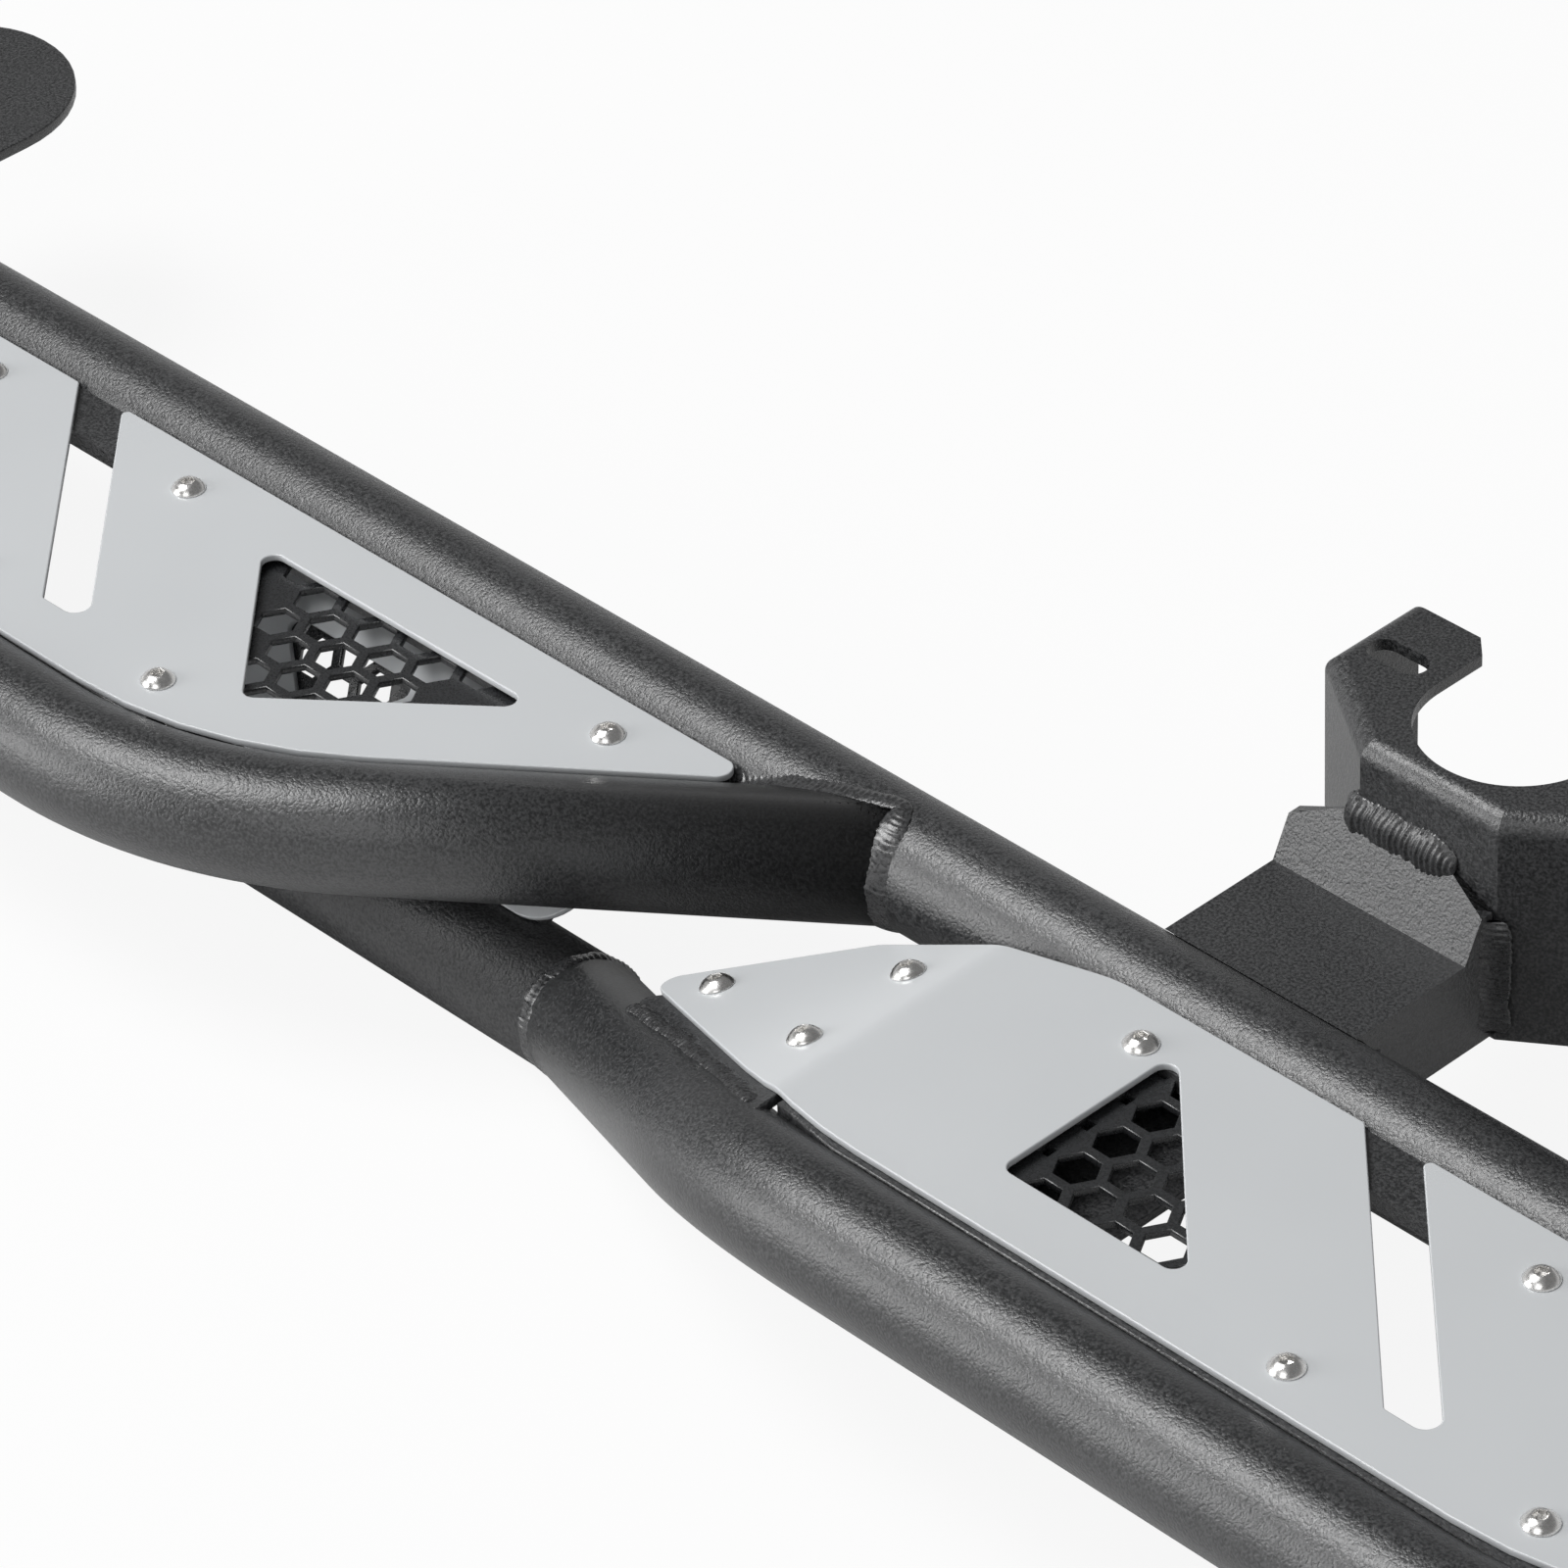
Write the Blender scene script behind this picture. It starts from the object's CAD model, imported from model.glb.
import math

import bmesh
import bpy
import numpy as np
from mathutils import Matrix, Vector, noise
from mathutils.geometry import tessellate_polygon


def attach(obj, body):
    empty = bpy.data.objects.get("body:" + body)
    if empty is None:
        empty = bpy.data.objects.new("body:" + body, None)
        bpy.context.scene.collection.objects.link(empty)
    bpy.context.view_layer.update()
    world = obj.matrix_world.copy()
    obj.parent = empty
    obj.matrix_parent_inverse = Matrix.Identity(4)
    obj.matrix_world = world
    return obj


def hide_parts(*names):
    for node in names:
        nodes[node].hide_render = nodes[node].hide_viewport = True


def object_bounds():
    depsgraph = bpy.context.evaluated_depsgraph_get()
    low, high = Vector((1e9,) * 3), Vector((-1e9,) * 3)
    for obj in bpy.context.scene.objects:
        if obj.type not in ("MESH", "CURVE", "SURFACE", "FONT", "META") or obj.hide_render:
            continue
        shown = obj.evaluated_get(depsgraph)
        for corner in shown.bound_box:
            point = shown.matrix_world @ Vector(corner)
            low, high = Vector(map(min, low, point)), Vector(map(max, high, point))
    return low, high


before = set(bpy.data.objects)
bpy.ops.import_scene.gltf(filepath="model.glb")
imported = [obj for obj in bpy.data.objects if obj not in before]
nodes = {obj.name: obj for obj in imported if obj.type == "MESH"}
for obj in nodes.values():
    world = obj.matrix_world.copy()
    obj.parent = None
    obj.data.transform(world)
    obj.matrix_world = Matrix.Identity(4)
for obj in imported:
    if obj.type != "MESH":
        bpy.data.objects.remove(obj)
cad_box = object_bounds()
scene = bpy.context.scene


# Main rail and end caps: one straight steel tube, 50.8 mm outside with a 3 mm wall, with a steel
# disc welded on each end and ground flush. All of it wears a baked black powder coat, whose fine
# grain breaks the light up into specks.

def grain_noise(tree, size, detail, place):
    """Noise whose grains are about size metres across."""
    node = tree.nodes.new("ShaderNodeTexNoise")
    node.inputs["Scale"].default_value = 1 / size
    node.inputs["Detail"].default_value = detail
    tree.links.new(place, node.inputs["Vector"])
    return node.outputs["Fac"]


def spread(tree, value, low, high, from_low=0.3, from_high=0.7):
    """The value brought from one range to another."""
    node = tree.nodes.new("ShaderNodeMapRange")
    node.inputs["From Min"].default_value = from_low
    node.inputs["From Max"].default_value = from_high
    node.inputs["To Min"].default_value = low
    node.inputs["To Max"].default_value = high
    tree.links.new(value, node.inputs["Value"])
    return node.outputs["Result"]


def blend_colours(tree, value, first, second):
    """Colour that runs from first to second as the value runs from 0.3 to 0.7."""
    node = tree.nodes.new("ShaderNodeValToRGB")
    node.color_ramp.elements[0].position = 0.3
    node.color_ramp.elements[0].color = (*first, 1)
    node.color_ramp.elements[1].position = 0.7
    node.color_ramp.elements[1].color = (*second, 1)
    tree.links.new(value, node.inputs["Fac"])
    return node.outputs["Color"]


def bump(tree, height, depth, strength, under=None):
    """Relief whose heights run over depth metres."""
    node = tree.nodes.new("ShaderNodeBump")
    node.inputs["Distance"].default_value = depth
    node.inputs["Strength"].default_value = strength
    tree.links.new(height, node.inputs["Height"])
    if under:
        tree.links.new(under, node.inputs["Normal"])
    return node.outputs["Normal"]


def new_material(name):
    """Empty material: its node tree, its shader and the place that its grain is laid out in."""
    material = bpy.data.materials.new(name)
    material.use_nodes = True
    tree = material.node_tree
    shader = tree.nodes["Principled BSDF"]
    place = tree.nodes.new("ShaderNodeTexCoord").outputs["Object"]
    return material, tree, shader, place


def powder_coat(name, dark, pale, rough, grain, depth):
    material, tree, shader, place = new_material(name)
    fine = grain_noise(tree, grain, 2, place)
    orange_peel = grain_noise(tree, grain * 3.5, 2, place)
    cloud = grain_noise(tree, 0.09, 2, place)
    flecks = tree.nodes.new("ShaderNodeMath")
    flecks.operation = "MULTIPLY_ADD"
    flecks.inputs[1].default_value = 0.3
    tree.links.new(cloud, flecks.inputs[0])
    tree.links.new(spread(tree, fine, 0.05, 0.65), flecks.inputs[2])
    tree.links.new(blend_colours(tree, flecks.outputs[0], dark, pale), shader.inputs["Base Color"])
    shader.inputs["Specular IOR Level"].default_value = 0.9
    tree.links.new(spread(tree, fine, rough - 0.08, rough + 0.08), shader.inputs["Roughness"])
    peel = bump(tree, orange_peel, depth, 0.6)
    tree.links.new(bump(tree, fine, depth, 1.0, peel), shader.inputs["Normal"])
    return material


coat_dark = (0.012, 0.0125, 0.0135)
coat_pale = (0.054, 0.055, 0.057)
powder = powder_coat("black_powder_coat", coat_dark, coat_pale, 0.36, 0.0012, 0.00030)


def finish_nodes(parts, material, angle, edge=0.0):
    """Gives CAD nodes of both sliders their finish, smooth faces and a softened edge."""
    for side in ("right_", "left_"):
        for part in parts:
            piece = nodes[side + part]
            piece.data.materials.clear()
            piece.data.materials.append(material)
            piece.data.shade_smooth()
            piece.data.set_sharp_from_angle(angle=math.radians(angle))
            if edge:
                join = piece.modifiers.new("join", "WELD")
                join.merge_threshold = 0.00001
                flatten = piece.modifiers.new("flatten", "DECIMATE")
                flatten.decimate_type = "DISSOLVE"
                flatten.angle_limit = math.radians(0.5)
                soften = piece.modifiers.new("edge", "BEVEL")
                soften.width = edge
                soften.segments = 2
                soften.limit_method = "ANGLE"
                soften.angle_limit = math.radians(angle)
                soften.harden_normals = True
            level = piece.modifiers.new("level", "WEIGHTED_NORMAL")
            level.keep_sharp = True
            level.weight = 100


finish_nodes(["main_rail"], powder, 35)
finish_nodes(["rail_caps"], powder, 35, 0.0012)


# Step tubes and lower tube: the same tube, bent round a former. A step tube leaves the rail, runs
# outwards and along it, and then drops inwards to the lower tube. Its ends are coped to lie on the
# tube they meet, and the front one is mitred to the end of the lower tube.

tube_r = 25.4
bore_r = 22.4
step_reach = 174.2
step_pitch = 710.0
node_angle = math.radians(37.6)
node_bend_r = 217.0
outer_run = 272.0
drop_angle = math.radians(31.7)
drop_bend_r = 171.5
lower_out = 91.0
lower_down = 70.0
lower_tail = 60.0
slider_origin = Vector((821.0, -500.0, 7.7))

node_run = (step_reach - node_bend_r * (1 - math.cos(node_angle))) / math.sin(node_angle)
drop_x = -node_run * math.cos(node_angle) - node_bend_r * math.sin(node_angle) - outer_run
drop = math.hypot(step_reach - lower_out, lower_down)
drop_way = Vector((0, step_reach - lower_out, -lower_down)) / drop
drop_run = (drop - drop_bend_r * (1 - math.cos(drop_angle))) / math.sin(drop_angle)
foot_x = drop_x - drop_bend_r * math.sin(drop_angle) - drop_run * math.cos(drop_angle)
tail_way = Vector((0, lower_out, lower_down)).normalized()
tail_rise = math.hypot(lower_out, lower_down)
tail_run = (tail_rise - drop_bend_r * (1 - math.cos(node_angle))) / math.sin(node_angle)
tail_x = foot_x - lower_tail - step_pitch

along = Vector((1, 0, 0))
rail_axis = (Vector((0, 0, 0)), along)
lower_axis = (Vector((0, -lower_out, -lower_down)), along)
node_way = Vector((-math.cos(node_angle), -math.sin(node_angle), 0))
drop_end_way = drop_way * math.sin(drop_angle) - along * math.cos(drop_angle)
tail_end_way = tail_way * math.sin(node_angle) - along * math.cos(node_angle)
node_turn = Vector((-math.sin(node_angle), math.cos(node_angle), 0))
mitre_point = Vector((foot_x, -lower_out, -lower_down))
mitre_way = (drop_end_way - along).normalized()


def form_of(points, faces):
    """Solid made of points in mm and of the faces between them."""
    form = bmesh.new()
    corners = [form.verts.new(point) for point in points]
    for face in faces:
        form.faces.new([corners[i] for i in face])
    return form


def place_pair(name, form, material, sharp=40, stands_for=None):
    """Puts a piece of the right slider, laid out in mm from its first joint, and its mirror image."""
    for face in form.faces:
        face.smooth = True
    for edge in form.edges:
        if len(edge.link_faces) == 2 and edge.calc_face_angle() > math.radians(sharp):
            edge.smooth = False
    for side, flip in (("right_", 1), ("left_", -1)):
        copy = form.copy()
        for corner in copy.verts:
            spot = (corner.co + slider_origin) * 0.001
            corner.co = (spot.x, spot.y * flip, spot.z)
        if flip < 0:
            bmesh.ops.reverse_faces(copy, faces=copy.faces)
        mesh = bpy.data.meshes.new(side + name)
        copy.to_mesh(mesh)
        copy.free()
        mesh.materials.append(material)
        piece = bpy.data.objects.new(side + name, mesh)
        scene.collection.objects.link(piece)
        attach(piece, "root")
        if stands_for:
            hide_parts(side + stands_for)


def tube_stops(start, way, moves):
    """Frames along a tube: each move is a straight length, or a bend's radius, angle and new side."""
    across = way.cross(Vector((0, 0, 1))).normalized()
    stops = [(start, way, across, way.cross(across))]
    for move in moves:
        point, way, first, second = stops[-1]
        if len(move) == 1:
            stops.append((point + way * move[0], way, first, second))
            continue
        bend_r, angle, inward = move
        axis = way.cross(inward).normalized()
        centre = point + axis.cross(way) * bend_r
        steps = math.ceil(math.degrees(angle) / 2)
        for i in range(1, steps + 1):
            turn = Matrix.Rotation(angle * i / steps, 3, axis)
            stops.append((centre + turn @ (point - centre), turn @ way, turn @ first, turn @ second))
    return stops


def lies_on_tube(axis):
    """Moves a point along a way to the near side of the tube on the axis."""
    def land(point, way):
        flat_way = way - axis[1] * way.dot(axis[1])
        from_axis = (point - axis[0]) - axis[1] * (point - axis[0]).dot(axis[1])
        b = flat_way.dot(from_axis)
        c = from_axis.dot(from_axis) - tube_r ** 2
        a = flat_way.dot(flat_way)
        return point + way * ((-b - math.sqrt(max(b * b - a * c, 0))) / a)
    return land


def lies_on_mitre(point, way):
    """Moves a point along a way to the mitre's plane."""
    return point + way * ((mitre_point - point).dot(mitre_way) / way.dot(mitre_way))


def tube_skin(stops, first_end, last_end):
    """Outside and bore of a tube with cut ends: its points and faces."""
    around = 96
    points, faces = [], []
    for r in (tube_r, bore_r):
        for row, (point, way, first, second) in enumerate(stops):
            for i in range(around):
                angle = math.tau * i / around
                spot = point + first * (r * math.cos(angle)) + second * (r * math.sin(angle))
                if row == 0:
                    spot = first_end(spot + way * 60, -way)
                if row == len(stops) - 1:
                    spot = last_end(spot - way * 60, way)
                points.append(spot)
    rows = len(stops)
    for i in range(around):
        j = (i + 1) % around
        for row in range(rows - 1):
            a, b = row * around, (row + 1) * around
            faces.append((a + i, a + j, b + j, b + i))
            a, b = a + rows * around, b + rows * around
            faces.append((a + i, b + i, b + j, a + j))
        inner = rows * around
        faces.append((i, inner + i, inner + j, j))
        last = (rows - 1) * around
        faces.append((last + i, last + j, inner + last + j, inner + last + i))
    return points, faces


def shifted(points, x):
    return [p + along * x for p in points]


step_moves = [
    (node_run,), (node_bend_r, node_angle, node_turn), (outer_run,),
    (drop_bend_r, drop_angle, drop_way), (drop_run,)]
step_stops = tube_stops(Vector((0, 0, 0)), node_way, step_moves)
lower_moves = [(foot_x - tail_x,), (drop_bend_r, node_angle, tail_way), (tail_run,)]
lower_stops = tube_stops(mitre_point, -along, lower_moves)

points, faces = tube_skin(step_stops, lies_on_tube(rail_axis), lies_on_mitre)
place_pair("front_step_pipe", form_of(points, faces), powder, stands_for="front_step_tube")
points, faces = tube_skin(step_stops, lies_on_tube(rail_axis), lies_on_tube(lower_axis))
points = shifted(points, -step_pitch)
place_pair("rear_step_pipe", form_of(points, faces), powder, stands_for="rear_step_tube")
points, faces = tube_skin(lower_stops, lies_on_mitre, lies_on_tube(rail_axis))
place_pair("lower_pipe", form_of(points, faces), powder, stands_for="lower_tube")


# Welds of the tubes: one bead of filler laid by hand round each joint, in a row of overlapping
# ripples. It stands a little proud of both tubes and is coated with them.

weld_half = 6.0
weld_rise = 1.3
weld_blend = 9.0
weld_ripple = 0.5
ripple_pitch = 2.6


def tube_surface(axis):
    """Distance of points from a tube's outside, and the way out of it."""
    start, way = np.array(axis[0]), np.array(axis[1])

    def surface(spots):
        away = spots - start
        away = away - np.outer(away @ way, way)
        reach = np.linalg.norm(away, axis=1)
        return reach - tube_r, away / reach[:, None]
    return surface


def flat_surface(point, way):
    """Distance of points from a flat face, and the way out of it."""
    start, out_way = np.array(point), np.array(way)

    def surface(spots):
        return (spots - start) @ out_way, np.tile(out_way, (len(spots), 1))
    return surface


def on_joint(spots, first, second, rise, blend):
    """Moves points onto the two surfaces, blended in the corner between them, or rise above that."""
    for _ in range(12):
        a, way_a = first(spots)
        b, way_b = second(spots)
        near = np.clip(1 - np.abs(a - b) / blend, 0, 1)
        height = np.minimum(a, b) - near ** 2 * blend / 4 - rise
        share = np.clip(0.5 + (b - a) / (2 * blend), 0, 1)[:, None]
        slope = way_a * share + way_b * (1 - share)
        size = np.maximum((slope ** 2).sum(axis=1), 0.05)[:, None]
        spots = spots - np.clip(height, -3, 3)[:, None] * slope / size
    return spots, slope / np.linalg.norm(slope, axis=1)[:, None]


def even_steps(path, step, closed):
    """The path again, in even steps."""
    loop = np.vstack([path, path[:1]]) if closed else path
    run = np.concatenate([[0], np.cumsum(np.linalg.norm(np.diff(loop, axis=0), axis=1))])
    count = int(run[-1] / step)
    at = np.linspace(0, run[-1], count, endpoint=not closed)
    return np.stack([np.interp(at, run, loop[:, k]) for k in range(3)], axis=1)


def weld_bead(path, first, second, closed, half=weld_half, rise=weld_rise, ripple=weld_ripple,
              blend=weld_blend, soften=10):
    """Bead of weld along the corner of two surfaces: its points and faces."""
    step = 0.45
    spots = even_steps(np.array(path, dtype=float), step, closed)
    reach = np.arange(-3 * soften, 3 * soften + 1)
    weight = np.exp(-(reach / soften) ** 2 / 2)
    mode = "wrap" if closed else "edge"
    padded = np.pad(spots, ((3 * soften, 3 * soften), (0, 0)), mode=mode)
    smooth = np.stack([np.convolve(padded[:, k], weight / weight.sum(), "valid") for k in range(3)], axis=1)
    smooth, out_way = on_joint(smooth, first, second, 0.0, blend)
    if closed:
        forward = np.roll(smooth, -1, axis=0) - np.roll(smooth, 1, axis=0)
    else:
        forward = np.gradient(smooth, axis=0)
    forward /= np.linalg.norm(forward, axis=1)[:, None]
    across = np.cross(forward, out_way)
    across /= np.linalg.norm(across, axis=1)[:, None]
    count = len(smooth)
    run = np.arange(count) * step
    end = np.ones(count) if closed else np.clip(np.minimum(run, run[::-1]) / half, 0, 1) ** 0.5
    uneven = np.array([noise.noise(Vector(spot) * 0.11) for spot in smooth])
    rough = np.array([noise.noise(Vector(spot) * 0.6) for spot in smooth])
    rows = []
    for u in np.linspace(-1, 1, 13):
        lean = run / ripple_pitch - 0.9 * u * u + 0.5 * u
        wave = np.abs(np.sin(math.pi * lean)) - 0.5
        dome = 1 - u * u
        height = (rise + 0.8) * dome * (1 + 0.5 * uneven) + ripple * wave * dome ** 0.5 * (1 + rough) - 0.8
        height = height * end - 0.8 * (1 - end)
        wide = half * (1 + 0.35 * uneven + 0.15 * rough) * (0.4 + 0.6 * end)
        row = smooth + out_way * 4 + across * (u * wide)[:, None]
        rows.append(on_joint(row, first, second, height, blend)[0])
    rows.append(smooth - out_way * 1.5)
    points = [Vector(rows[k][i]) for i in range(count) for k in range(len(rows))]
    faces = []
    wide = len(rows)
    for i in range(count if closed else count - 1):
        j = (i + 1) % count
        for k in range(wide):
            m = (k + 1) % wide
            faces.append((i * wide + k, i * wide + m, j * wide + m, j * wide + k))
    if not closed:
        faces.append(tuple(range(wide - 1, -1, -1)))
        faces.append(tuple((count - 1) * wide + k for k in range(wide)))
    return points, faces


def joint_line(stops, land, last=True):
    """Line round a tube's end where it meets what it is welded to."""
    point, way, first, second = stops[-1] if last else stops[0]
    if not last:
        way = -way
    line = []
    for i in range(120):
        angle = math.tau * i / 120
        spot = point + first * (tube_r * math.cos(angle)) + second * (tube_r * math.sin(angle))
        line.append(land(spot - way * 60, way))
    return line


bead_coat = powder_coat("coat_over_welds", (0.020, 0.020, 0.021), (0.050, 0.051, 0.053), 0.30, 0.0012, 0.00010)


def weld_pair(name, path, first, second, closed=True, shift=0.0, **size):
    points, faces = weld_bead(path, first, second, closed, **size)
    place_pair(name, form_of(shifted(points, shift), faces), bead_coat, sharp=60)


def mitre_skin(spots):
    """The mitred corner of the front step tube and the lower tube."""
    a, way_a = drop_skin(spots)
    b, way_b = lower_skin(spots)
    behind = (spots - np.array(mitre_point)) @ np.array(mitre_way) > 0
    return np.where(behind, b, a), np.where(behind[:, None], way_b, way_a)


rail_skin = tube_surface(rail_axis)
lower_skin = tube_surface(lower_axis)
node_skin = tube_surface((Vector((0, 0, 0)), node_way))
drop_skin = tube_surface((mitre_point, drop_end_way))
tail_point = lower_stops[-1][0]
tail_skin = tube_surface((tail_point, tail_end_way))
node_line = joint_line(step_stops, lies_on_tube(rail_axis), last=False)
node_bead = {"half": 5.0, "rise": 0.0, "ripple": 0.25, "blend": 5.0, "soften": 8}
weld_pair("front_node_weld", node_line, rail_skin, node_skin, **node_bead)
weld_pair("rear_node_weld", node_line, rail_skin, node_skin, shift=-step_pitch, **node_bead)
mitre_line = joint_line(step_stops, lies_on_mitre)
weld_pair("mitre_weld", mitre_line, mitre_skin, mitre_skin, half=4.0, rise=0.7, ripple=0.35, blend=0.1)
drop_line = joint_line(step_stops, lies_on_tube(lower_axis))
weld_pair("rear_drop_weld", drop_line, lower_skin, drop_skin, shift=-step_pitch)
tail_line = joint_line(lower_stops, lies_on_tube(rail_axis))
weld_pair("tail_weld", tail_line, rail_skin, tail_skin)


# Supports: flat bars welded to the rail and the step tube, with round ears for the screws, a thin
# gusset sheet under each first window, and a sheet under each folded plate end. All cut from
# sheet steel, welded in and coated with the tubes.

plate_t = 3.0
bar_t = 7.6
ear_r = 9.0
screw_in = 40.2
screw_out = 134.5
fold_x = drop_x - 55.0
flat_len = -fold_x - tube_r
fold_angle = math.radians(19)
front_top = 21.3
rear_top = 19.6
front_shares = (0.128, 0.446, 0.84)
rear_shares = (0.128, 0.222, 0.43, 0.84)
outer_shares = (0.393, 0.584)


def chord(z):
    return math.sqrt(tube_r ** 2 - z ** 2)


def corner_arc(before, corner, after, r):
    """Arc that rounds one corner of an outline."""
    to_before = (before - corner).normalized()
    to_after = (after - corner).normalized()
    half = to_before.angle(to_after) / 2
    centre = corner + (to_before + to_after).normalized() * (r / math.sin(half))
    start = corner + to_before * (r / math.tan(half)) - centre
    finish = corner + to_after * (r / math.tan(half)) - centre
    first = math.atan2(start.y, start.x)
    sweep = (math.atan2(finish.y, finish.x) - first + math.pi) % math.tau - math.pi
    steps = max(4, math.ceil(abs(math.degrees(sweep)) / 8))
    return [centre + r * Vector((math.cos(first + sweep * i / steps), math.sin(first + sweep * i / steps)))
            for i in range(steps + 1)]


def rounded(points, radii):
    """Outline with its corners rounded."""
    corners = [Vector(p) for p in points]
    n = len(corners)
    out = []
    for i, r in enumerate(radii):
        out += corner_arc(corners[i - 1], corners[i], corners[(i + 1) % n], r)
    return out


def circle(x, y, r, steps=32):
    return [Vector((x + r * math.cos(math.tau * i / steps), y + r * math.sin(math.tau * i / steps)))
            for i in range(steps)]


def turned(loop, wanted):
    """The loop, running the wanted way round: 1 for counter-clockwise."""
    area = sum(loop[i - 1].x * loop[i].y - loop[i].x * loop[i - 1].y for i in range(len(loop)))
    return loop if area * wanted > 0 else loop[::-1]


def drawn_in(loop, by):
    """The loop moved towards its left by a distance."""
    out = []
    n = len(loop)
    for i in range(n):
        a = (loop[i] - loop[i - 1]).normalized()
        b = (loop[(i + 1) % n] - loop[i]).normalized()
        left_a, left_b = Vector((-a.y, a.x)), Vector((-b.y, b.x))
        out.append(loop[i] + (left_a + left_b) * (by / (1 + left_a.dot(left_b))))
    return out


def sheet(outline, holes, bottom, thickness, edge=0.4):
    """Flat sheet cut to an outline with holes, its edges softened. Its flat faces are tagged."""
    loops = [turned([Vector(p) for p in outline], 1)] + [turned([Vector(p) for p in hole], -1) for hole in holes]
    bite = edge * 0.29
    profile = [(edge, thickness), (bite, thickness - bite), (0, thickness - edge),
               (0, edge), (bite, bite), (edge, 0)]
    form = bmesh.new()
    rings = []
    for loop in loops:
        rings.append([[form.verts.new((p.x, p.y, bottom + z)) for p in drawn_in(loop, by)] for by, z in profile])
    for ring in rings:
        n = len(ring[0])
        for upper, lower in zip(ring, ring[1:]):
            for i in range(n):
                j = (i + 1) % n
                form.faces.new((upper[i], lower[i], lower[j], upper[j]))
    for level in (0, -1):
        corners = [v for ring in rings for v in ring[level]]
        flat = [[v.co.to_3d() for v in ring[level]] for ring in rings]
        for a, b, c in tessellate_polygon(flat):
            trio = (corners[a], corners[b], corners[c])
            normal = (trio[1].co - trio[0].co).cross(trio[2].co - trio[0].co)
            if normal.length < 1e-6:
                continue
            if (normal.z > 0) != (level == 0):
                trio = trio[::-1]
            form.faces.new(trio)
    crease(form)
    return form


def crease(form):
    """Keeps the softened edges of a sheet from shading its flat faces."""
    form.normal_update()
    for face in form.faces:
        face.tag = abs(face.normal.z) > 0.999
    for edge in form.edges:
        if len(edge.link_faces) == 2 and edge.link_faces[0].tag != edge.link_faces[1].tag:
            edge.smooth = False


def moved(form, way):
    bmesh.ops.transform(form, matrix=way, verts=form.verts)
    return form


def joined(*forms):
    """Several forms as one."""
    whole = bmesh.new()
    for form in forms:
        mesh = bpy.data.meshes.new("part")
        form.to_mesh(mesh)
        whole.from_mesh(mesh)
        bpy.data.meshes.remove(mesh)
    return whole


def along_rail(x):
    return Matrix.Translation((x, 0, 0))


def fold_down(top):
    """Turns a flat piece down about the plate's fold line."""
    pivot = Matrix.Translation((fold_x, 0, top - plate_t))
    return pivot @ Matrix.Rotation(-fold_angle, 4, "Y") @ pivot.inverted()


def ear(x, y):
    """Round ear on the upper side of a bar, from its right to its left."""
    return [(x + ear_r * math.cos(math.pi * i / 16), y + ear_r * math.sin(math.pi * i / 16)) for i in range(17)]


def outer_bar(top):
    start, finish = fold_x + 3.0, fold_x + outer_shares[1] * flat_len + 12.0
    edge = step_reach - chord(top - plate_t) - 1.0
    outline = [(start, -edge + 5.0), (drop_x - 20.0, -edge), (finish, -edge), (finish, -134.0)]
    for share in reversed(outer_shares):
        outline += ear(fold_x + share * flat_len, -134.0)
    outline += [(start, -134.0)]
    return sheet(outline, [], top - plate_t - bar_t, bar_t, 0.8)


def gusset():
    left, right = fold_x - 8.0, fold_x + 125.7
    outline = [(left, -24.0), (left, -142.0), (drop_x, -150.0), (right, -150.5), (right, -24.0)]
    return sheet(outline, [], -6.0, 4.0)


def fold_support(top, gap):
    corners = plate_corners(top, gap)
    outline = [(fold_x - 9.0, corners[1].y - 29.5), (fold_x - 52.0, corners[2].y - 9.0),
               (fold_x - 101.6, -94.8), corners[3] - Vector((0, 9.0)), corners[4] - Vector((7.5, 9.0))]
    return moved(sheet(rounded(outline, [3.5] * 5), [], top - plate_t - 4.0, 4.0), fold_down(top))


def plate_corners(top, gap):
    """Corners of a step plate laid flat, as it is before its end is folded down."""
    inner = -chord(top - plate_t) - 0.6
    outer = -step_reach + chord(top - plate_t) + gap
    turn = -node_run * math.cos(node_angle) - node_bend_r * math.sin(node_angle)
    turn += (node_bend_r - step_reach - outer) * math.tan(node_angle / 2)
    return [Vector(p) for p in (
        (turn + (inner - outer) / math.tan(node_angle), inner), (fold_x + 45.0, inner),
        (fold_x - 52.0, inner - 29.5), (fold_x - 126.0, inner - 81.8), (fold_x + 7.5, outer), (turn, outer))]


finish_nodes(["front_bar", "rear_bar"], powder, 35)
bars = joined(outer_bar(front_top), moved(outer_bar(rear_top), along_rail(-step_pitch)))
place_pair("outer_bars", bars, powder, 50, stands_for="outer_tabs")
place_pair("gussets", joined(gusset(), moved(gusset(), along_rail(-step_pitch))), powder, 50)
supports = joined(fold_support(front_top, 4.0), moved(fold_support(rear_top, 0.6), along_rail(-step_pitch)))
place_pair("fold_supports_cut", supports, powder, 50, stands_for="fold_supports")


def bent_surface(stops):
    """Distance of points from the outside of a bent tube, and the way out of it."""
    line = np.array([stop[0] for stop in stops])
    starts, runs = line[:-1], np.diff(line, axis=0)

    def surface(spots):
        spots = np.asarray(spots, dtype=float)
        away = spots[:, None] - starts[None]
        share = np.clip((away * runs).sum(axis=2) / (runs ** 2).sum(axis=1), 0, 1)
        away = away - share[:, :, None] * runs
        reach = np.linalg.norm(away, axis=2)
        nearest = reach.argmin(axis=1)
        rows = np.arange(len(spots))
        reach = reach[rows, nearest]
        return reach - tube_r, away[rows, nearest] / reach[:, None]
    return surface


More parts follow.
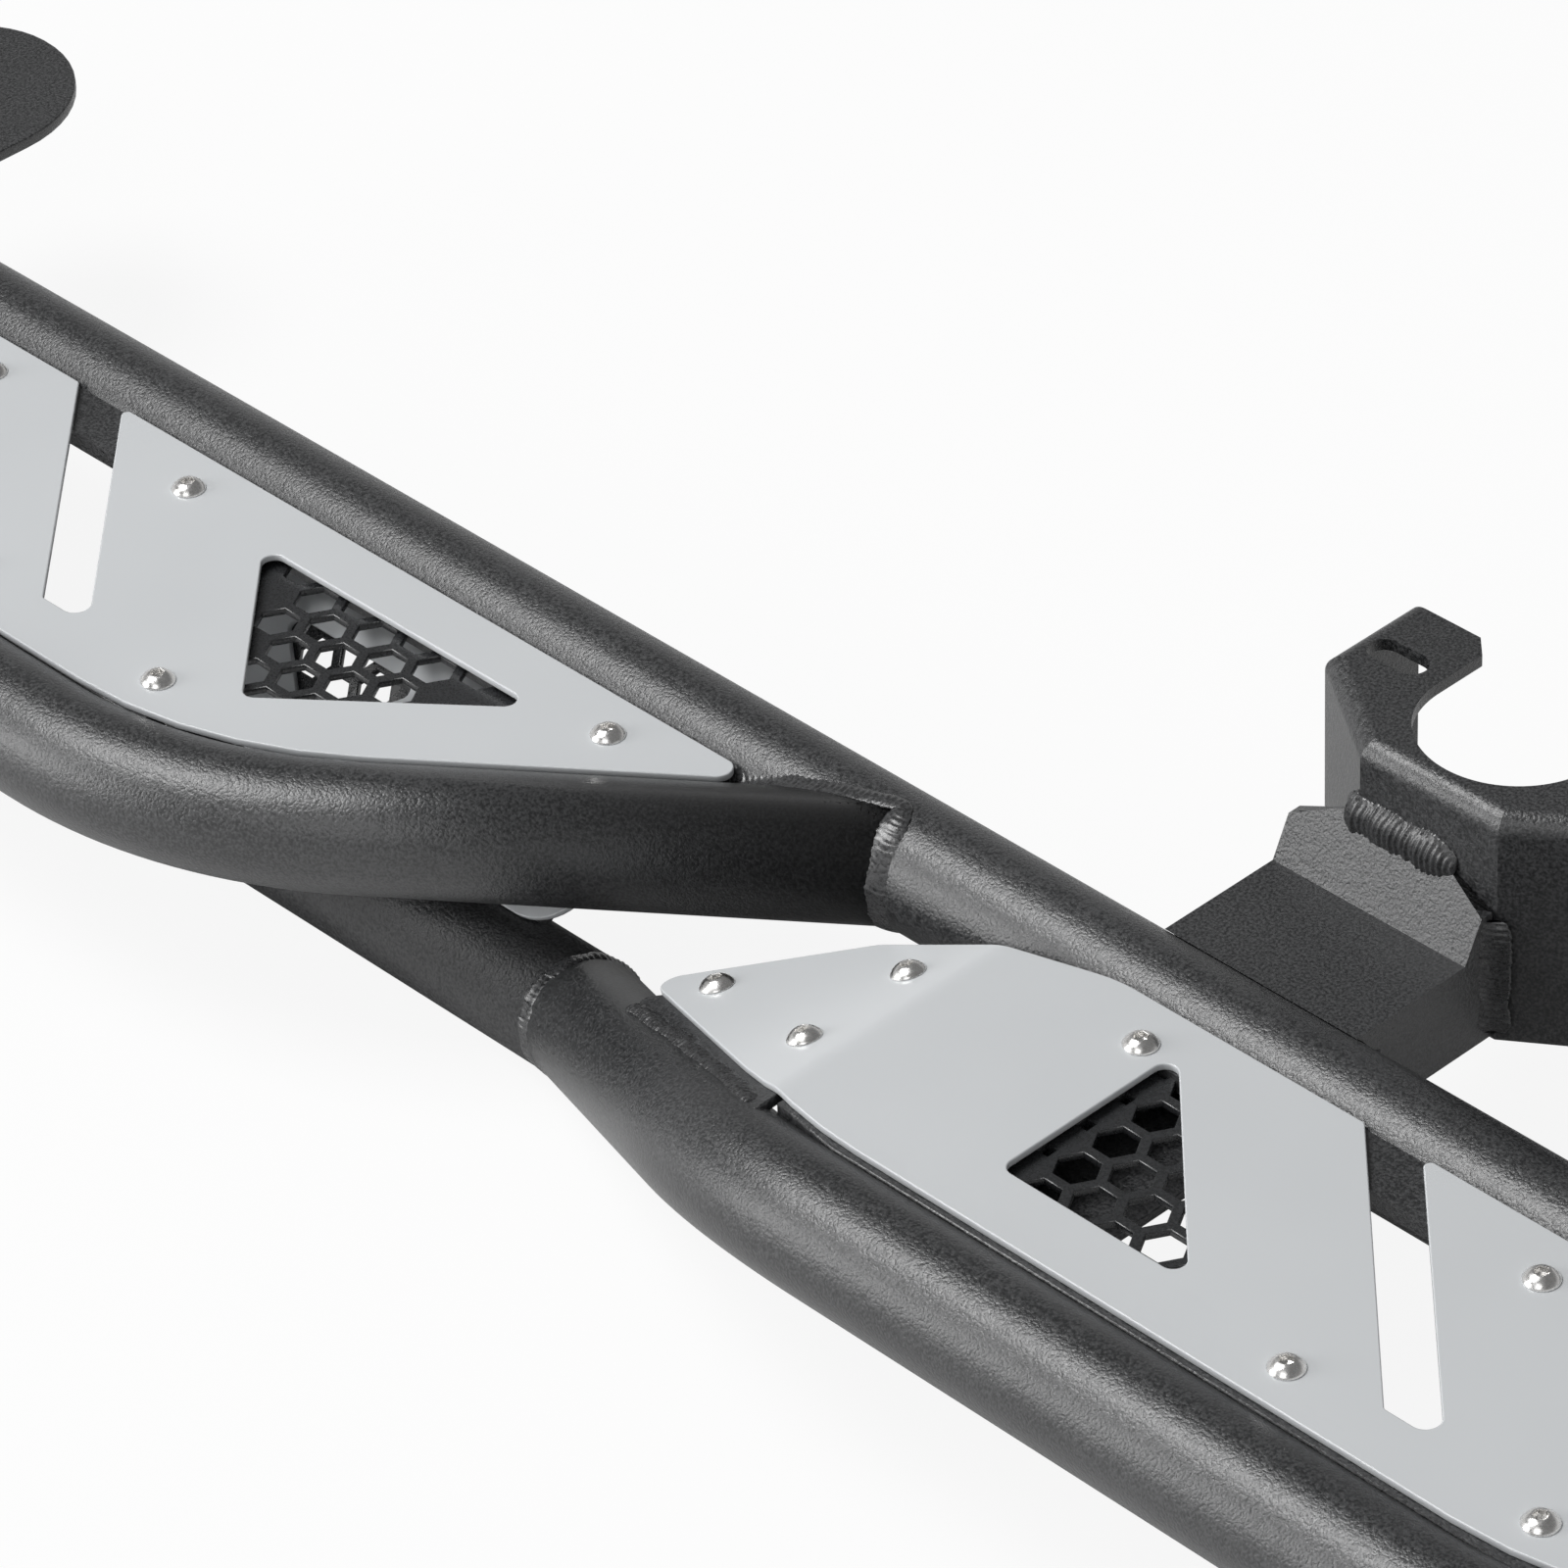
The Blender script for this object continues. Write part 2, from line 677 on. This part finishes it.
def fold_weld(name, top, gap, shift):
    """Bead between a fold support's outer edge and the step tube beside it."""
    corners = plate_corners(top, gap)
    place = fold_down(top)
    height = top - plate_t
    step_skin = bent_surface(step_stops)
    face = flat_surface(place @ Vector((fold_x - 40, -90, height)), place.to_3x3() @ Vector((0, 0, 1)))
    line = []
    for i in range(41):
        x = corners[3].x + 3 + (fold_x - 6 - corners[3].x - 3) * i / 40
        near, far = -70.0, -190.0
        for y in np.arange(near, far, -1.0):
            if step_skin([place @ Vector((x, y, height))])[0][0] < 0.5:
                line.append(place @ Vector((x, y, height)))
                break
    weld_pair(name, line, step_skin, face, False, shift=shift, half=4.5, rise=0.8, ripple=0.7, blend=4.0, soften=6)


fold_weld("front_fold_weld", front_top, 4.0, 0)
fold_weld("rear_fold_weld", rear_top, 0.6, -step_pitch)


# Honeycomb sheets under the windows: steel sheet laser-cut into six-sided cells, tacked under the
# plates' bars. Thin struts with crisp edges, in a smoother black coat that glints along them.

cell_pitch = 20.0
cell_w = 15.7
mesh_t = 3.0
mesh_depth = 5.5
mesh_margin = 11.0
bar_out = 42.0
tucked = 14.0


def inside(points, spot, margin):
    """Whether a spot is well inside an outline that runs counter-clockwise."""
    for i in range(len(points)):
        side = (points[i] - points[i - 1]).normalized()
        if side.cross(spot - points[i - 1]) < margin:
            return False
    return True


def cells(field, start, margin):
    out = []
    field = turned(field, 1)
    for i in range(-10, 11):
        for j in range(-10, 11):
            spot = start + Vector((i * cell_pitch * math.sqrt(3) / 2, (j + (i % 2) / 2) * cell_pitch))
            if inside(field, spot, margin):
                out.append([spot + cell_w / math.sqrt(3) * Vector((math.cos(k * math.pi / 3), math.sin(k * math.pi / 3)))
                            for k in range(6)])
    return out


def window_corners(kind, top):
    inner = -chord(top - plate_t) - 0.6
    if kind == "corner":
        x, y = fold_x + 91.4, inner - 20.2
        return [Vector((x, y)), Vector((x, y - 84.0)), Vector((x + 85.0, y - 84.0))]
    x, y = fold_x + 315.6, inner - 28.0
    return [Vector((x, y)), Vector((x + 68.0, y - 69.0)), Vector((x + 152.0, y))]


def corner_mesh(top):
    w = window_corners("corner", top)
    side, base = w[0].x - mesh_margin, max(w[1].y - mesh_margin, -133.7)
    slope = w[2] - w[0]
    near = Vector((w[0].x + 3 * mesh_margin, -bar_out)) + slope * (tucked / slope.y)
    far = near + slope * ((base - near.y) / slope.y)
    outline = [Vector((side, near.y)), Vector((side, base)), far, near]
    start = Vector((w[0].x + cell_pitch * 2 / 3, w[1].y + cell_pitch * 1.05))
    holes = cells(outline, start, cell_w / 2 + 0.9)
    for i in range(4):
        x, y = w[0].x - 1.5, start.y + i * cell_pitch
        if y < near.y - 4.0:
            holes.append([Vector((x - 2.5, y - 2.5)), Vector((x + 2.5, y - 2.5)),
                          Vector((x + 2.5, y + 2.5)), Vector((x - 2.5, y + 2.5))])
    return sheet(outline, holes, top - mesh_depth - mesh_t, mesh_t)


def long_mesh(top):
    w = window_corners("long", top)
    low, left, right = w[1].y - mesh_margin, w[0].x - 2.4 * mesh_margin, w[2].x + 2.4 * mesh_margin
    feet = [Vector((w[1].x - 2 * mesh_margin, low)), Vector((w[1].x + mesh_margin, low))]
    field = [Vector((left, 0)), feet[0], feet[1], Vector((right, 0))]
    holes = cells(field, Vector((w[1].x, w[0].y - cell_pitch / 5)), cell_w / 2 + 0.9)
    holes = [hole for hole in holes if max(p.y for p in hole) < tucked - bar_out - 1.5]
    ends = [Vector((left, -bar_out)), Vector((right, -bar_out))]
    ends = [end + (end - foot) * (tucked / (-bar_out - low)) for end, foot in zip(ends, feet)]
    outline = [ends[0], feet[0], feet[1], ends[1]]
    return sheet(outline, holes, top - mesh_depth - mesh_t, mesh_t)


lower_tilt = math.atan2(lower_down, lower_out)
lower_place = Matrix.Translation((foot_x - 10.5, 0, 0)) @ Matrix.Rotation(lower_tilt, 4, "X")
lower_top = 20.0
lower_len = 285.0
lower_screw_x = (-34.2, -250.8)
screw_off = 33.0
lower_window = [Vector((-128.0, -40.0)), Vector((-211.0, -40.0)), Vector((-169.5, -78.0))]


def lower_mesh():
    outline = [Vector((-117.0, -29.0)), Vector((-222.0, -29.0)), Vector((-169.5, -89.0))]
    holes = cells(outline, Vector((-169.5, -40.0)), cell_w / 2 + 0.9)
    return moved(sheet(outline, holes, lower_top - plate_t - mesh_t, mesh_t), lower_place)


grid_coat = powder_coat("black_grid_coat", (0.016, 0.017, 0.018), (0.024, 0.025, 0.027), 0.30, 0.0010, 0.00005)
for form, name, x in ((corner_mesh(front_top), "front_corner_mesh", 0), (corner_mesh(rear_top), "rear_corner_mesh", -step_pitch),
                      (long_mesh(front_top), "front_long_mesh", 0), (long_mesh(rear_top), "rear_long_mesh", -step_pitch),
                      (lower_mesh(), "lower_mesh", 0)):
    place_pair(name.replace("mesh", "honeycomb"), moved(form, along_rail(x)), grid_coat, 50, stands_for=name)


# Step plates and lower plate: 3 mm sheet, laser-cut with a slot and windows, with one end of each
# step plate folded down over the drop of its tube. Grey gloss paint, even all over.

def sheet_paint(name, dark, pale, rough):
    material, tree, shader, place = new_material(name)
    cloud = grain_noise(tree, 0.12, 2, place)
    fine = grain_noise(tree, 0.0030, 2, place)
    tree.links.new(blend_colours(tree, cloud, dark, pale), shader.inputs["Base Color"])
    tree.links.new(spread(tree, cloud, rough - 0.02, rough + 0.02), shader.inputs["Roughness"])
    tree.links.new(bump(tree, fine, 0.00002, 0.3, bump(tree, cloud, 0.0008, 0.2)), shader.inputs["Normal"])
    return material


def grown(corners, by):
    """Three corners moved out so that each side lies further out."""
    facing = [(corners[i - 1] - corners[i - 2]).length for i in range(3)]
    middle = sum((corner * side for corner, side in zip(corners, facing)), Vector((0, 0))) / sum(facing)
    inner_r = abs((corners[1] - corners[0]).cross(corners[2] - corners[0])) / sum(facing)
    return [middle + (corner - middle) * (1 + by / inner_r) for corner in corners]


def step_plate(top, gap, shares):
    """Plate with its slot, windows and screw holes, cut flat and then bent over a soft former."""
    corners = plate_corners(top, gap)
    x, y = fold_x + 165.7, corners[0].y
    slot = [Vector((x + 27.5, y)), Vector((x + 136.5, y - 109.0)), Vector((x + 109.0, y - 109.0)), Vector((x, y))]
    radii = [6.0, 2.5, 6.0, 2.5, 2.5, 60.0, 15.0, 7.0, 200.0, node_bend_r - step_reach - corners[4].y]
    outline = rounded(corners[:1] + slot + corners[1:], radii)
    holes = [rounded(grown(window_corners(kind, top), 1.8), [5.0] * 3) for kind in ("corner", "long")]
    holes += [circle(fold_x + share * flat_len, -screw_in, 4.3) for share in shares]
    holes += [circle(fold_x + share * flat_len, -screw_out, 4.3) for share in outer_shares]
    holes += [circle(fold_x - back, -out, 4.3) for back, out in ((20.6, 61.6), (20.6, 114.4), (92.6, 94.8))]
    form = sheet(outline, holes, top - plate_t, plate_t, 0.5)
    bend_r = 25.0
    half = bend_r * math.tan(fold_angle / 2)
    for i in range(9):
        bmesh.ops.bisect_plane(form, geom=form.verts[:] + form.edges[:] + form.faces[:],
                               plane_co=(fold_x - half + half * i / 4, 0, 0), plane_no=(1, 0, 0))
    for corner in form.verts:
        x, z = corner.co.x - (fold_x + half), corner.co.z - (top - plate_t)
        if x >= 0:
            continue
        turn = min(-x / (2 * half), 1) * fold_angle
        rest = min(x + 2 * half, 0)
        base_x = fold_x + half - bend_r * math.sin(turn) + rest * math.cos(turn)
        base_z = top - plate_t - bend_r * (1 - math.cos(turn)) + rest * math.sin(turn)
        corner.co.x = base_x - z * math.sin(turn)
        corner.co.z = base_z + z * math.cos(turn)
    return form


def lower_plate():
    inner = chord(lower_top - plate_t) + 0.6
    outer = tail_rise - inner
    outline = rounded([(-20.0, -inner), (-265.0, -inner), (-lower_len, -outer), (0, -outer)], [24.0] * 4)
    holes = [rounded(lower_window, [4.0] * 3)]
    holes += [circle(x, y, 4.3) for x in lower_screw_x for y in (-screw_off, -tail_rise + screw_off)]
    return moved(sheet(outline, holes, lower_top - plate_t, plate_t, 0.5), lower_place)


def lower_tab(x, near, far):
    """Drilled tab from a tube's skin out under the lower plate."""
    outline = [(x - 13.0, near), (x + 13.0, near), (x + 13.0, far), (x - 13.0, far)]
    middle = -screw_off if far > -50.0 else -tail_rise + screw_off
    return moved(sheet(outline, [circle(x, middle, 3.4)], lower_top - plate_t - bar_t, bar_t), lower_place)


tabs = [lower_tab(x, -42.0, -21.5) for x in lower_screw_x]
tabs += [lower_tab(x, -tail_rise + 21.5, -tail_rise + 42.0) for x in lower_screw_x]
place_pair("lower_tabs_cut", joined(*tabs), powder, 35, stands_for="lower_tabs")
grey = sheet_paint("grey_sheet_paint", (0.600, 0.618, 0.632), (0.625, 0.643, 0.657), 0.20)
place_pair("front_plate_cut", step_plate(front_top, 4.0, front_shares), grey, 50, stands_for="front_step_plate")
rear_form = moved(step_plate(rear_top, 0.6, rear_shares), along_rail(-step_pitch))
place_pair("rear_plate_cut", rear_form, grey, 50, stands_for="rear_step_plate")
place_pair("lower_plate_cut", lower_plate(), grey, 50, stands_for="lower_plate")


# Screws: M8 button heads of bright stainless steel with a 5 mm hexagon socket, turned and rolled.
# They go down through the plates into threaded bars, and their tips stick out below.

head_r = 7.0
shank_r = 4.0
screw_len = 21.5
thread_pitch = 1.25
socket_r = 2.9


def screw_form():
    """One screw, its seat at z = 0: rings from the tip up over the head and down into the socket."""
    around = 48
    rings = [[(shank_r - 1.0, -screw_len)] * around]
    thread_top = -9.0
    count = int((screw_len + thread_top) / thread_pitch * 4)
    for k in range(count):
        z = -screw_len + 0.6 + k * thread_pitch / 4
        ring = []
        for i in range(around):
            turn = (k / 4 - i / around) % 1
            ring.append((shank_r - 0.65 * abs(2 * turn - 1), z))
        rings.append(ring)
    for r, z in ((shank_r, thread_top), (shank_r, 0), (head_r - 0.3, 0), (head_r, 0.3), (head_r, 0.55)):
        rings.append([(r, z)] * around)
    dome_r, dome_z = 8.11, -3.593
    first, last = math.asin(head_r / dome_r), math.asin(3.4 / dome_r)
    for k in range(1, 8):
        angle = first + (last - first) * k / 7
        rings.append([(dome_r * math.sin(angle), dome_z + dome_r * math.cos(angle))] * around)
    side = socket_r * math.cos(math.pi / 6)
    hexagon = [side / math.cos((math.tau * i / around) % (math.pi / 3) - math.pi / 6) for i in range(around)]
    rings.append([(r + 0.12, 3.9) for r in hexagon])
    rings.append([(r, 3.7) for r in hexagon])
    rings.append([(r, 1.3) for r in hexagon])
    points = []
    for ring in rings:
        for i, (r, z) in enumerate(ring):
            angle = math.tau * i / around
            points.append(Vector((r * math.cos(angle), r * math.sin(angle), z)))
    faces = []
    for k in range(len(rings) - 1):
        for i in range(around):
            j = (i + 1) % around
            faces.append((k * around + i, k * around + j, (k + 1) * around + j, (k + 1) * around + i))
    faces.append(tuple(range(around - 1, -1, -1)))
    points.append(Vector((0, 0, 0.8)))
    top = (len(rings) - 1) * around
    for i in range(around):
        faces.append((top + i, top + (i + 1) % around, len(points) - 1))
    return form_of(points, faces)


def bright_steel(name):
    material, tree, shader, place = new_material(name)
    scratch = grain_noise(tree, 0.0012, 3, place)
    tree.links.new(blend_colours(tree, scratch, (0.86, 0.85, 0.83), (0.93, 0.92, 0.91)), shader.inputs["Base Color"])
    shader.inputs["Metallic"].default_value = 1.0
    tree.links.new(spread(tree, scratch, 0.22, 0.32), shader.inputs["Roughness"])
    tree.links.new(bump(tree, scratch, 0.00003, 0.3), shader.inputs["Normal"])
    return material


def step_screws(x, top, shares):
    """Places of one step plate's screws."""
    flat = [(fold_x + share * flat_len, -screw_in) for share in shares]
    flat += [(fold_x + share * flat_len, -screw_out) for share in outer_shares]
    folded = [(fold_x - 20.6, -61.6), (fold_x - 20.6, -114.4), (fold_x - 92.6, -94.8)]
    places = [Matrix.Translation((px, py, top)) for px, py in flat]
    places += [fold_down(top) @ Matrix.Translation((px, py, top)) for px, py in folded]
    return [along_rail(x) @ place for place in places]


screw_places = step_screws(0, front_top, front_shares) + step_screws(-step_pitch, rear_top, rear_shares)
screw_places += [lower_place @ Matrix.Translation((x, y, lower_top))
                 for x in lower_screw_x for y in (-screw_off, -tail_rise + screw_off)]
steel = bright_steel("stainless_screws")
screws = []
for number, place in enumerate(screw_places):
    screws.append(moved(screw_form(), place @ Matrix.Rotation(math.radians(23 * number), 4, "Z")))
place_pair("button_head_screws", joined(*screws), steel, 35, stands_for="plate_screws")


# Body bracket and its arm: 5 mm plate folded into a hood with slotted tabs round a cut-out, and a
# square box arm with a slanted flap, welded to the hood's front and to the rail. Black powder coat.

finish_nodes(["body_bracket"], powder, 35)
finish_nodes(["bracket_arm"], powder, 35, 0.0008)

bracket_front = 88.9
arm_left, arm_right = -592.25, -496.75
flap_way = Vector((0, 14.7, 29.0)).normalized()
hood = flat_surface((0, bracket_front, 0), (0, -1, 0))
flap = flat_surface((0, bracket_front - 0.3, 49.0), (0, -flap_way.z, flap_way.y))
arm_side = flat_surface((arm_right, 0, 0), (1, 0, 0))
arm_back = flat_surface((arm_left, 0, 0), (-1, 0, 0))


def straight(start, finish):
    return [Vector(start).lerp(Vector(finish), i / 40) for i in range(41)]


weld_pair("flap_weld", straight((arm_left + 23, 88.6, 49), (arm_right - 17, 88.6, 49)), hood, flap, False,
          half=7.5, rise=2.2, ripple=0.9, blend=6.0, soften=3)
weld_pair("arm_side_weld", straight((arm_right, 88.9, -17), (arm_right, 88.9, 35)), hood, arm_side, False,
          half=5.0, rise=0.8, ripple=0.4, blend=8.0, soften=3)
weld_pair("arm_back_weld", straight((arm_left, 88.9, -17), (arm_left, 88.9, 22)), hood, arm_back, False,
          half=4.5, rise=0.8, ripple=0.4, blend=7.0, soften=3)


def arm_weld(name, left, right, low, high):
    """Beads round a box arm's root on the rail."""
    size = {"half": 3.5, "rise": 0.5, "ripple": 0.25, "blend": 6.0, "soften": 3}
    under = flat_surface((0, 0, low), (0, 0, -1))
    line = straight((left + 3, chord(low), low), (right - 3, chord(low), low))
    weld_pair(name + "_lower_weld", line, rail_skin, under, False, **size)
    for part, x, way in (("rear", left, -1), ("front", right, 1)):
        face = flat_surface((x, 0, 0), (way, 0, 0))
        heights = [low + 3 + (high - low - 14) * i / 40 for i in range(41)]
        line = [Vector((x, chord(z), z)) for z in heights]
        weld_pair(name + "_" + part + "_weld", line, rail_skin, face, False, **size)


arm_weld("bracket_arm", arm_left, arm_right, -20.0, 20.0)


# Feet: a box arm welded to the rail under a round-ended plate with a bolt hole, which bolts to the
# frame of the vehicle. Laser-cut 5 mm plate and box section, coated black.

rear_foot_x = -1376.8
front_foot_x = 49.0
foot_w = 130.0
foot_round_y = 75.2
foot_start = 29.0


def foot_plate(x):
    half = foot_w / 2
    outline = rounded([(-half, foot_start), (42.0, foot_start), (42.0, 144.8), (-half, 144.8)], [10.0, 10.0, 58.0, 48.0])
    return moved(sheet(outline, [circle(0, foot_round_y, 6.5)], 15.0, 5.0, 0.6), along_rail(x))


finish_nodes(["rear_foot_arm", "front_foot_arm"], powder, 35, 0.0010)
place_pair("rear_foot_cut", foot_plate(rear_foot_x), powder, 50, stands_for="rear_foot_plate")
place_pair("front_foot_cut", foot_plate(front_foot_x), powder, 50, stands_for="front_foot_plate")
arm_weld("rear_foot", rear_foot_x - 30.0, rear_foot_x + 30.0, -20.0, 15.0)
arm_weld("front_foot", front_foot_x - 30.0, front_foot_x + 30.0, -20.0, 15.0)


# Floor and backdrop: a white paper sweep that the camera, polished metal and glass see as white,
# while it still takes the object's soft shadow.

def white_floor(name):
    material = bpy.data.materials.new(name)
    material.use_nodes = True
    tree = material.node_tree
    tree.nodes.clear()
    out = tree.nodes.new("ShaderNodeOutputMaterial")
    mix = tree.nodes.new("ShaderNodeMixShader")
    path = tree.nodes.new("ShaderNodeLightPath")
    paper = tree.nodes.new("ShaderNodeBsdfDiffuse")
    paper.inputs["Color"].default_value = (0.8, 0.8, 0.8, 1)
    glow = tree.nodes.new("ShaderNodeEmission")
    glow.inputs["Color"].default_value = (1, 1, 1, 1)
    glow.inputs["Strength"].default_value = 1.0
    seen = tree.nodes.new("ShaderNodeMath")
    seen.operation = "MAXIMUM"
    share = tree.nodes.new("ShaderNodeMath")
    share.operation = "MULTIPLY"
    share.inputs[1].default_value = 0.9
    tree.links.new(path.outputs["Is Camera Ray"], seen.inputs[0])
    tree.links.new(path.outputs["Is Transmission Ray"], seen.inputs[1])
    tree.links.new(seen.outputs[0], share.inputs[0])
    tree.links.new(share.outputs[0], mix.inputs["Fac"])
    tree.links.new(paper.outputs[0], mix.inputs[1])
    tree.links.new(glow.outputs[0], mix.inputs[2])
    tree.links.new(mix.outputs[0], out.inputs["Surface"])
    return material


floor_half = 40.0
floor_z = cad_box[0][2]
floor_mesh = bpy.data.meshes.new("floor")
floor_corners = [(-floor_half, -floor_half), (floor_half, -floor_half), (floor_half, floor_half), (-floor_half, floor_half)]
floor_mesh.from_pydata([(x, y, floor_z) for x, y in floor_corners], [], [(0, 1, 2, 3)])
floor = bpy.data.objects.new("floor", floor_mesh)
floor.data.materials.append(white_floor("white_paper"))
scene.collection.objects.link(floor)


# Light: a big soft box high over the far end of the sliders, a weaker one beside them, and a room
# that is white round the horizon and dim overhead.

world = bpy.data.worlds.new("room")
world.use_nodes = True
scene.world = world
tree = world.node_tree
tree.nodes.clear()
out = tree.nodes.new("ShaderNodeOutputWorld")
mix = tree.nodes.new("ShaderNodeMixShader")
path = tree.nodes.new("ShaderNodeLightPath")
seen = tree.nodes.new("ShaderNodeBackground")
seen.inputs["Color"].default_value = (1, 1, 1, 1)
room = tree.nodes.new("ShaderNodeBackground")
way = tree.nodes.new("ShaderNodeTexCoord")
height = tree.nodes.new("ShaderNodeSeparateXYZ")
tree.links.new(way.outputs["Generated"], height.inputs["Vector"])
tree.links.new(spread(tree, height.outputs["Z"], 0.85, 0.20, 0.08, 0.40), room.inputs["Strength"])
tree.links.new(path.outputs["Is Camera Ray"], mix.inputs["Fac"])
tree.links.new(room.outputs[0], mix.inputs[1])
tree.links.new(seen.outputs[0], mix.inputs[2])
tree.links.new(mix.outputs[0], out.inputs["Surface"])


def soft_box(name, way, distance, size, power):
    """Square lamp on a way from the middle of the right slider, facing it."""
    lamp = bpy.data.lights.new(name, "AREA")
    lamp.shape = "SQUARE"
    lamp.size = size
    lamp.energy = power
    box = bpy.data.objects.new(name, lamp)
    middle = Vector((0.2, -0.55, 0.0))
    aim = Vector(way).normalized()
    box.location = middle + aim * distance
    box.rotation_euler = (-aim).to_track_quat("-Z", "Y").to_euler()
    scene.collection.objects.link(box)


soft_box("top_box", (-0.42, -0.28, 0.86), 6.0, 3.0, 262)
soft_box("side_box", (-0.62, -0.74, 0.28), 6.0, 3.0, 135)
soft_box("front_box", (0.30, -0.70, 0.60), 6.0, 3.0, 50)


# Camera: looks down along the right slider from its front, outer end, with a long lens.

eye = Vector((1.79846, -2.09666, 1.74401))
sight = Vector((-0.5972, 0.5433, -0.5902)).normalized()
right = Vector((0.6935, 0.7194, -0.0395))
right = (right - right.dot(sight) * sight).normalized()
up = right.cross(sight)
lens = bpy.data.cameras.new("camera")
lens.lens = 177.15
lens.sensor_width = 36
lens.clip_end = 200
camera = bpy.data.objects.new("camera", lens)
camera.matrix_world = Matrix((
    (right.x, up.x, -sight.x, eye.x),
    (right.y, up.y, -sight.y, eye.y),
    (right.z, up.z, -sight.z, eye.z),
    (0, 0, 0, 1)))
scene.collection.objects.link(camera)
scene.camera = camera
scene.view_settings.view_transform = "Standard"
